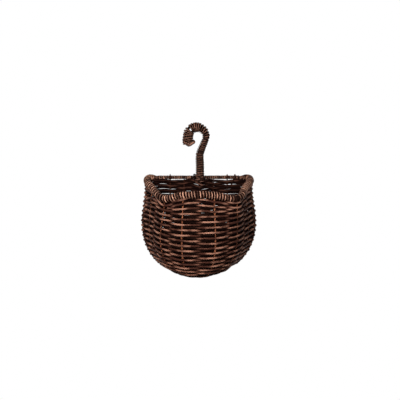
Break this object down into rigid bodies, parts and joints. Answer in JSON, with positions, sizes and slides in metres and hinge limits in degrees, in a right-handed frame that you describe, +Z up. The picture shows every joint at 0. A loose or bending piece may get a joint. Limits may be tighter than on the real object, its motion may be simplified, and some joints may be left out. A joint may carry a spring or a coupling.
{
  "type": "woven hanging wall basket",
  "caption": "Half-round wall basket woven from dark round strands over thin uprights, with a strip-bound rim, a flat back and a strip-bound hook to hang it by.",
  "frame": {"origin": "top of the inside of the hook's eye, where the peg that holds the basket lies", "axes": "+Z up; +Y into the wall that the flat back lies against; +X to the right for someone facing the basket"},
  "size_m": [0.238, 0.1534, 0.3047],
  "materials": {
    "weaving_strand": "dark stained rattan, satin",
    "upright_strand": "reddish stained rattan, satin",
    "binding_strip": "split rattan strip, stained, satin",
    "core_rod": "dark stained cane, matt"
  },
  "bodies": {
    "root": {"hook_rod": "core_rod", "hook_binding_stem": "binding_strip", "hook_binding_bend": "binding_strip", "hook_tail": "binding_strip", "hook_lashing_inner": "binding_strip", "hook_lashing_outer": "binding_strip", "back_rail": "core_rod", "back_binding_left": "binding_strip", "back_binding_right": "binding_strip", "rim_hoop": "core_rod", "rim_binding_left": "binding_strip", "rim_binding_front": "binding_strip", "rim_binding_right": "binding_strip", "upright_back_inner_left": "upright_strand", "upright_back_outer_left": "upright_strand", "upright_back_corner_left": "upright_strand", "upright_side_left": "upright_strand", "upright_front_corner_left": "upright_strand", "upright_front_left": "upright_strand", "upright_front_right": "upright_strand", "upright_front_corner_right": "upright_strand", "upright_side_right": "upright_strand", "upright_back_corner_right": "upright_strand", "upright_back_outer_right": "upright_strand", "upright_back_inner_right": "upright_strand", "weaver_1": "weaving_strand", "weaver_2": "weaving_strand", "weaver_3": "weaving_strand", "weaver_4": "weaving_strand", "weaver_5": "weaving_strand", "weaver_6": "weaving_strand", "weaver_7": "weaving_strand", "weaver_8": "weaving_strand", "base_panel": "weaving_strand"}
  },
  "joints": []
}
